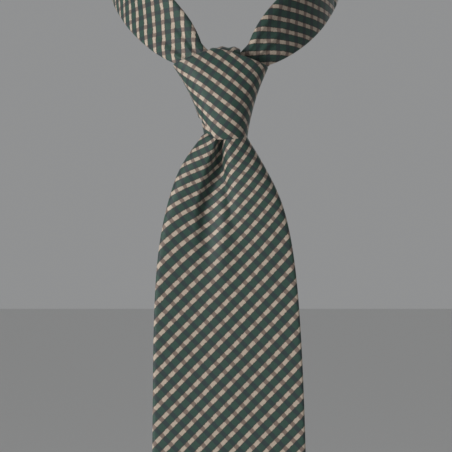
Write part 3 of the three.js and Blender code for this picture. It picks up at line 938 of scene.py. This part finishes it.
def knotEdges(turn):
    # the heights of the lower and the upper edge at each turn
    x, _ = knotPlan(turn, 30.0, 0 * turn)
    leftTop, rightTop = knot["corners"]
    corner = np.where(x < knot["peakAside"], leftTop, rightTop)
    reach = np.where(x < knot["peakAside"], -26 - knot["peakAside"], 22 - knot["peakAside"])
    share = np.clip((x - knot["peakAside"]) / reach, 0, 1)
    eased = np.sqrt(share**2 + 0.008) - np.sqrt(0.008)
    high = knot["peak"] - (knot["peak"] - corner) * np.clip(eased, 0, 1)
    foot, _ = knotPlan(turn, 2.0, 0 * turn)
    low = knot["cutCorner"] * smooth(-foot, 5.4, 13.6)
    return low, high


def knotFolds(turn, height):
    # faint tension folds that fan out from the lower edge
    wave = np.sin(5.2 * turn + 0.055 * height * np.sin(2 * turn)) + 0.6 * np.sin(9.1 * turn + 1.3)
    return 0.16 * wave * smooth(height, 2, 14) * (1 - smooth(height, 34, 46))


def hemmed(points, radius, reach):
    # rolls the first and last rows of a grid inwards, in a half circle and then straight back
    normal = outward(points)

    def roll(edge, beyond, into):
        turn = np.linspace(0, np.pi, 9)[1:, None, None]
        curl = edge + radius * (np.sin(turn) * beyond - (1 - np.cos(turn)) * into)
        back = np.linspace(0, reach, 5)[1:, None, None]
        return np.concatenate([curl, curl[-1] - back * beyond])

    top = roll(points[0], unit(points[0] - points[1]), normal[0])
    foot = roll(points[-1], unit(points[-1] - points[-2]), normal[-1])
    return np.concatenate([top[::-1], points, foot])


def knotFlat(points):
    # flat coordinates of the strip round the knot: up it, and along it from the middle
    along = runAlong(points, 1)
    along = along - along[:, [along.shape[1] // 2]]
    up = points[[0], :, 2] - knotZ - runAlong(points, 0)
    return np.stack([up, -along], -1)


def knotSurface(inset=0.0):
    # the plan at each height between the two edges, moved out by the folds and in by the inset
    turn, run = knotColumns()
    low, high = knotEdges(turn)
    share = np.linspace(1, 0, knot["rows"])[:, None]
    height = low + (high - low) * share
    x, depth = knotPlan(turn[None], height, run[None])
    points = inFrame(x, depth, knotZ + height)
    folds = knotFolds(turn[None], height) * (run[None] == 0)
    return points + outward(points) * (folds - inset)[..., None]


def makeFrontTurn():
    # the knot's surface with both edges hemmed, and its interlining 1 mm inside
    points = hemmed(knotSurface(), knot["hem"], 5)
    flat = knotFlat(points)
    cloth = crossThread(flat, knot["patternPitch"], knot["patternTurn"]) + np.array(knot["phase"])
    piece = makeSheet("knotFrontSilk", points, cloth, silk, 0.45)
    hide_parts("knot_front_turn_shell")
    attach(piece, "knot")
    declare(flat)

    points = knotSurface(1.0)[3:-3, 6:-6]
    cloth = knotFlat(points)
    core = makeSheet("knotFrontInterlining", points, cloth, canvas, 0.45)
    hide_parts("knot_front_turn_interlining")
    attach(core, "knot")
    declare(cloth)


makeFrontTurn()

# inside and behind the knot
inner = {
    "inset": 0.95,  # where it shows; it lies further in elsewhere
    "deepInset": 1.9,
    "top": 20,
    "foot": -0.3,
    "lean": math.radians(-28),  # how its cloth lies
}


def makeInnerTurn():
    # the first crossing follows the front turn inside it, and shows where that one's corner is cut
    turn = np.linspace(-np.pi / 2, np.pi / 2, 81)
    height = np.linspace(inner["top"], inner["foot"], 28)[:, None]
    x, depth = knotPlan(turn[None], height, 0 * turn[None])
    reach = np.array([5.5, 3.7, 1.8])
    quarter = np.full((1, 3), np.pi / 2)
    sides = [knotPlan(-quarter, height, reach[None]), knotPlan(quarter, height, reach[None, ::-1])]
    x = np.concatenate([sides[0][0], x, sides[1][0]], 1)
    depth = np.concatenate([sides[0][1], depth, sides[1][1]], 1)
    points = inFrame(x, depth, knotZ + height)
    shown = smooth(-points[..., 0], 3, 9) * (1 - smooth(points[..., 2] - knotZ, 7, 13))
    inset = inner["deepInset"] - (inner["deepInset"] - inner["inset"]) * shown
    points = points - outward(points) * inset[..., None]
    points = hemmed(points, 0.7, 3)
    p = runAlong(points, 1)
    cloth = crossThread(np.stack([-runAlong(points, 0), -p], -1), 1, inner["lean"])
    piece = makeSheet("knotInnerSilk", points, cloth + np.array([1.2, 0]), silk, 0.4)
    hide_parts("knot_inner_turn")
    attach(piece, "knot")
    declare(cloth)


makeInnerTurn()

backTurn = {
    "depth": 5.0,
    "foot": 0.6,
    "top": 31,
    "inset": 2.6,
    "hem": 0.9,
    "lean": math.radians(7),
}


def makeBackTurn():
    # a band across the back, between the sides of the front turn
    side = np.sin(np.linspace(np.pi / 2, -np.pi / 2, 61))[None]
    height = np.linspace(backTurn["top"], backTurn["foot"], 44)[:, None]
    half = knotHalf(height, side) - backTurn["inset"]
    x = half * side
    wave = 0.18 * np.sin(height / 3.1 + side * 2) * (1 - side**2)
    depth = backTurn["depth"] + 1.1 * np.abs(side) ** 6 - wave * 0.6
    surface = inFrame(x, depth, knotZ + height)
    points = hemmed(surface, backTurn["hem"], 3)
    p = runAlong(points, 1)
    cloth = crossThread(np.stack([-runAlong(points, 0), -p], -1), 1, backTurn["lean"])
    piece = makeSheet("knotBackSilk", points, cloth, silk, 0.4)
    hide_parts("knot_back_turn_shell")
    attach(piece, "knot")
    declare(cloth)

    points = (surface - outward(surface) * 0.9)[3:-3, 4:-4]
    cloth = np.stack([-runAlong(points, 0), -runAlong(points, 1)], -1)
    core = makeSheet("knotBackInterlining", points, cloth, canvas, 0.45)
    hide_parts("knot_back_turn_interlining")
    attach(core, "knot")
    declare(cloth)


makeBackTurn()


# strips that run along a path
def frameAlong(path, out):
    # at each point of a path: the way across, to the right as seen from outside, and the way out
    forward = unit(np.gradient(path, axis=0))
    out = unit(out - (out * forward).sum(1, keepdims=True) * forward)
    return -np.cross(forward, out), out


def layStrip(path, across, out, x, rise):
    # a section carried along a path: rows along it, columns across it
    return path[:, None] + across[:, None] * x[..., None] + out[:, None] * rise[..., None]


def stripCloth(x, rise, path):
    # flat coordinates of a strip: round its section, and back along its path
    run = runAlong(path, 0)[:, None]
    u = acrossCloth(x, rise)
    return np.stack([u, -run + 0 * u], -1)


over = {
    "backDepth": 3.0,
    "frontDepth": 19.3,
    "shoulder": overHigh[2] - 9.65,
    "foot": overLow[2],
    "frontFoot": knotZ + 11,
    "half": 8.5,
    "endHalf": 7.4,
    "thick": 1.5,
    "pleat": 0.42,
}


def makeOverPass():
    # up the back, over in a half circle, and down inside the front turn
    radius = (over["frontDepth"] - over["backDepth"]) / 2
    turn = np.linspace(0, np.pi, 46)
    rise = np.linspace(over["foot"], over["shoulder"], 32)[:-1]
    fall = np.linspace(over["shoulder"], over["frontFoot"], 28)[1:]
    depth = over["backDepth"] + radius * (1 - np.cos(turn))
    depth = np.concatenate([0 * rise + over["backDepth"], depth, 0 * fall + over["frontDepth"]])
    z = np.concatenate([rise, over["shoulder"] + radius * np.sin(turn), fall])
    path = inFrame(0, depth, z)
    middle = inFrame(0, over["backDepth"] + radius, 0)
    away = path - middle
    away[:, 2] = np.clip(z - over["shoulder"], 0, None)
    across, out = frameAlong(path, away)
    along = np.linspace(0, 1, len(path))
    half = over["half"] - (over["half"] - over["endHalf"]) * smooth(along, 0.62, 1)
    thick = 0 * half + over["thick"]
    x, lift = foldedSection(half, thick, 3.4 + 0 * half, 0.12 + 0 * half, 61, 13)
    pleats = over["pleat"] * np.cos(2.5 * np.pi * x / half[:, None] + 0.7 + 1.5 * along[:, None])
    lift += np.where(lift > 0, pleats * (lift / over["thick"]) ** 2, 0)
    points = layStrip(path, across, out, x, lift)
    cloth = stripCloth(x, lift, path)
    piece = makeSheet("knotOverSilk", points, cloth, silk, 0.35)
    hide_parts("knot_over_pass_shell")
    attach(piece, "knot")
    declare(cloth)

    side = np.linspace(-1, 1, 25)[None]
    x = (half[:, None] - 1.1) * side
    points = layStrip(path, across, out, x, 0.25 + 0 * x)[1:-1]
    cloth = gridOf(x, -runAlong(path, 0)[:, None])[1:-1]
    core = makeSheet("knotOverInterlining", points, cloth, canvas, 0.5)
    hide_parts("knot_over_pass_interlining")
    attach(core, "knot")
    declare(cloth)


makeOverPass()
print("the knot is tied")

# the neck loop
neck = {
    "radius": 64.5,
    "half": 17.5,
    "pinchedHalf": 8.4,
    "thick": 1.7,
    "pinchedThick": 2.4,
    "pinchLength": 18,
    "pleat": 0.8,
    "pinchStart": 38.9,
    "gusset": 250,
    "strandDepths": (12.9, 9.6),  # the blade's side, then the tail's
    "shoulder": (13.5, knotZ + 41),
    "around": [(54, -9), (90, 13), (132, 29)],  # degrees round the neck, and height
    "back": 36,
    "foot": knotZ + 1,
    "seamSlant": 0.55,
    "seamGap": 0.1,
    "step": 1.6,
}


def throughPoints(points, perSpan=60):
    # a smooth curve through points: each span is the cubic whose end slopes come from the chords on
    # both sides, each weighed by the square root of its length
    ends = np.vstack([2 * points[0] - points[1], points, 2 * points[-1] - points[-2]])
    t = np.linspace(0, 1, perSpan, endpoint=False)[:, None]
    spans = []
    for a, b, c, d in zip(ends[:-3], ends[1:-2], ends[2:-1], ends[3:]):
        ab, bc, cd = (np.linalg.norm(v) ** 0.5 for v in (b - a, c - b, d - c))
        start = ((b - a) / ab - (c - a) / (ab + bc) + (c - b) / bc) * bc
        end = ((c - b) / bc - (d - b) / (bc + cd) + (d - c) / cd) * bc
        bend = (3 * (c - b) - 2 * start - end) * t**2 + (2 * (b - c) + start + end) * t**3
        spans.append(b + start * t + bend)
    return np.vstack(spans + [points[-1:]])


def neckPath():
    # from inside the knot up the left strand, round the neck and down the right one
    aside, shoulderZ = neck["shoulder"]

    def side(depth):
        near = [(0, -26, depth), (0, -20, depth), (aside * 0.14, -13, depth), (aside, 0, depth)]
        near.append((aside * 2, 14.5, 5))
        front = [(x, chestY - d, shoulderZ + z) for x, z, d in near]
        turn = [(math.radians(a), z) for a, z in neck["around"]]
        r = neck["radius"]
        return front + [(r * math.sin(a), -r * math.cos(a), z) for a, z in turn]

    left = [(-x, y, z) for x, y, z in side(neck["strandDepths"][0])]
    right = side(neck["strandDepths"][1])[::-1]
    curve = throughPoints(np.array([*left, (0, neck["radius"], neck["back"]), *right], float))
    run = runAlong(curve, 0)
    even = np.linspace(0, run[-1], int(run[-1] / neck["step"]))
    return np.stack([np.interp(even, run, curve[:, i]) for i in range(3)], 1), even


def wholeNeckPath():
    # the path with the straight stretch inside the knot added at both ends; run is 0 at the first
    # point of the curve
    path, run = neckPath()
    total = run[-1]
    for last in (False, True):
        end = path[-1] if last else path[0]
        z = np.arange(end[2] - neck["step"], neck["foot"], -neck["step"])
        foot = np.stack([0 * z, end[1] + 0 * z, z], 1)
        drop = end[2] - z
        if last:
            path, run = np.vstack([path, foot]), np.concatenate([run, total + drop])
        else:
            path, run = np.vstack([foot[::-1], path]), np.concatenate([-drop[::-1], run])
    return path, run, total


def at(place, run, values):
    # values along the path, at any places on it
    return np.stack([np.interp(place, run, values[:, i]) for i in range(3)], -1)


def makeNeckPanel(name, node, ends, seams, footed, whole):
    # one panel of the band: pinched towards the knot, with pleats there, and its seam ends cut on
    # the slant
    path, fullRun, total = whole
    across, out = frameAlong(path, path * np.array([1, 1, 0]))
    run = np.linspace(*ends, int((ends[1] - ends[0]) / neck["step"]))
    opening = np.clip(np.minimum(run, total - run) - neck["pinchStart"], 0, None)
    pinch = np.exp(-opening / neck["pinchLength"])
    half = neck["half"] - (neck["half"] - neck["pinchedHalf"]) * pinch
    thick = neck["thick"] - (neck["thick"] - neck["pinchedThick"]) * pinch
    x, lift = foldedSection(half, thick, 14 - 10.5 * pinch, 0.12 + 0 * half, 81, 17)
    share = x / half[:, None]
    drift = run[:, None] / 40
    wave = np.cos(3 * np.pi * share + 0.6) + 0.5 * np.cos(5.3 * np.pi * share + 1.9 + drift)
    pleats = neck["pleat"] * (pinch**0.8 * (1 - 0.45 * pinch))[:, None] * wave
    soft = 0.16 * np.sin(run / 19 + 1)[:, None] * np.cos(1.5 * share)
    soft = soft + 0.1 * np.sin(run / 8.3)[:, None] * share
    shape = np.clip(np.abs(lift) / thick[:, None], 0, 1) ** 2
    lift = lift + np.sign(lift) * shape * np.where(lift > 0, pleats + soft, pleats * 0.25)
    near = np.min([np.abs(run - seam) for seam in seams], axis=0)
    lift = lift * (1 - 0.3 * np.exp(-((near / 1.2) ** 2)))[:, None]
    slide = neck["seamSlant"] * x * np.clip(1 - near / 60, 0, 1)[:, None]
    place = run[:, None] + slide
    where, side, face = (at(place, fullRun, v) for v in (path, across, out))
    points = where + side * x[..., None] + face * lift[..., None]
    cloth = np.stack([acrossCloth(x, lift), -place], -1)
    piece = makeSheet(name + "Silk", points, cloth, silk, 0.4)
    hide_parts(node + "_shell")
    declare(cloth)

    x = (half[:, None] - 1.2) * np.linspace(-1, 1, 25)[None]
    points = at(run, fullRun, path)[:, None] + at(run, fullRun, across)[:, None] * x[..., None]
    cut = slice(2 if footed < 0 else 10, -2 if footed > 0 else -10)
    cloth = gridOf(x, -run[:, None])[cut]
    core = makeSheet(name + "Interlining", points[cut], cloth, canvas, 0.6)
    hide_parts(node + "_interlining")
    declare(cloth)
    for made in (piece, core):
        if footed:
            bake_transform(made)
        else:
            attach(made, "neck_loop")


def makeNeck():
    # three panels end to end: a strand on each side, and the gusset between two slanted seams
    whole = wholeNeckPath()
    run, total = whole[1], whole[2]
    first = (total - neck["gusset"]) / 2
    last = total - first
    gap = neck["seamGap"]
    makeNeckPanel("bladeStrand", "blade_side_strand", (run[0], first - gap), [first], -1, whole)
    makeNeckPanel("neckGusset", "neck_gusset", (first + gap, last - gap), [first, last], 0, whole)
    makeNeckPanel("tailStrand", "tail_side_strand", (last + gap, run[-1]), [last], 1, whole)


makeNeck()
print("the loop goes round the neck")

# the sewing on the backs
sewing = {
    "threadRadius": 0.2,
    "stitchPitch": 5.5,
    "stitchReach": 0.9,
    "tack": (0.8, 2.0),  # thick and high
    "keeper": (48.0, 12.0, 0.75),  # wide, high and thick
    "keeperTop": 262,
    "label": (30.0, 16.0),
    "labelTop": 345,
    "careTag": (14.0, 18.0),
    "careTagTop": 278,
}
backward = np.array([0.0, 1.0, 0.0])


def bladeBack(down, off=0.0):
    # a point's place on the flat back of the blade
    return bladeMiddle(down) - bladeThick(down) - off


def makeSlipStitch(name, node, body, top, foot, place, back):
    # one thread that crosses the seam on a slant, dips under one flap, and crosses back
    down = np.arange(top, foot, 0.35)
    phase = down / sewing["stitchPitch"] * np.pi
    aside = sewing["stitchReach"] * np.clip(1.6 * np.sin(phase), -1, 1)
    dip = 0.14 * np.cos(2 * phase)
    path = place(aside, back(down) - 0.12 - dip, down)
    across, out = frameAlong(path, np.broadcast_to(backward, path.shape))
    radius = sewing["threadRadius"]
    piece = makeTube(name, path, across, out, radius, radius, thread, 6)
    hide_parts(node)
    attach(piece, body)


def makeTack(name, node, body, place, back, down, length):
    # a bar of threads laid side by side: an oval rod with ridges round it and closed ends
    thick, high = sewing["tack"]
    along = np.linspace(-1, 1, 141)
    end = np.clip(1 - np.abs(along) ** 10, 0.02, 1) ** 0.5
    ridge = 1 + 0.08 * np.cos(along * length * np.pi / 0.42)
    x = along * length / 2
    path = place(x, back(down) - 0.25 + 0 * x, down + 0 * x)
    across, out = frameAlong(path, np.broadcast_to(backward, path.shape))
    wide, deep = end * ridge * high / 2, end * ridge * thick / 2
    piece = makeTube(name, path, across, out, wide, deep, thread, 14)
    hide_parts(node)
    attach(piece, body)


def makeKeeper():
    # a narrow folded band across the back, lifted between its two sewn ends
    wide, high, thick = sewing["keeper"]
    down = sewing["keeperTop"] + high / 2
    x = np.linspace(-wide / 2, wide / 2, 90)
    lift = 0.95 * smooth(wide / 2 - np.abs(x), 2.5, 8)
    path = bladePlace(x, bladeBack(down, 0.45) - lift, down)
    across, out = frameAlong(path, np.broadcast_to(backward, path.shape))
    half = high / 2 * (1 - 0.02 * smooth(wide / 2 - np.abs(x), 2, 8))
    section, rise = foldedSection(half, thick / 2 + 0 * x, 9 + 0 * x, 0.1 + 0 * x, 41, 11)
    points = layStrip(path, across, out, section, rise)
    cloth = stripCloth(section, rise, path)
    piece = makeSheet("keeperSilk", points, cloth, silk, 0.2)
    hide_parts("keeper_loop")
    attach(piece, "front_blade")
    declare(cloth)
    for word, side in (("left", -1), ("right", 1)):
        z = np.linspace(-high / 2 + 1.2, high / 2 - 1.2, 90)
        weave = 0.22 * np.sin(z * np.pi / 0.9)
        aside = side * (wide / 2 - 1.5) + weave
        path = bladePlace(aside, bladeBack(down, 0.86) + 0 * z, down + z)
        across, out = frameAlong(path, np.broadcast_to(backward, path.shape))
        bar = makeTube("keeperStitch" + word.title(), path, across, out, 0.26, 0.2, thread, 6)
        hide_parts("keeper_stitch_" + word)
        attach(bar, "front_blade")


def makeLabel(name, node, size, top, aside, off, curl):
    # a woven slip with its ends turned under; curl lifts its lower edge
    wide, high = size
    x = np.linspace(wide / 2, -wide / 2, 41)[None] + aside
    drop = np.linspace(0, high, 33)[:, None]
    lift = off + curl * smooth(drop, high * 0.35, high) + 0.06 * np.sin(x / 2.3) * np.sin(drop / 3)
    points = hemmed(bladePlace(x, bladeMiddle(top + drop) - lift, top + drop), 0.16, 1.6)
    cloth = np.stack([-runAlong(points, 1), -runAlong(points, 0)], -1)
    piece = makeSheet(name, points, cloth, labelCloth, 0.14)
    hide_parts(node)
    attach(piece, "front_blade")
    declare(cloth)


bladeSeam = (bladePlace, bladeBack)
tailSeam = (tailPlace, tailBack)
makeSlipStitch("bladeSlipStitch", "blade_slip_stitch", "front_blade", 110, 298, *bladeSeam)
makeSlipStitch("tailSlipStitch", "tail_slip_stitch", "tail", 118, 263, *tailSeam)
makeTack("bladeTack", "blade_bar_tack", "front_blade", *bladeSeam, 300, 9)
makeTack("tailTack", "tail_bar_tack", "tail", *tailSeam, 265, 6.3)
makeKeeper()
makeLabel("wovenLabel", "woven_label", sewing["label"], sewing["labelTop"], 0, 0.78, 0)
makeLabel("careTag", "care_tag", sewing["careTag"], sewing["careTagTop"], 8.2, 2.05, 0.9)
print("stitches, keeper and labels are sewn on")
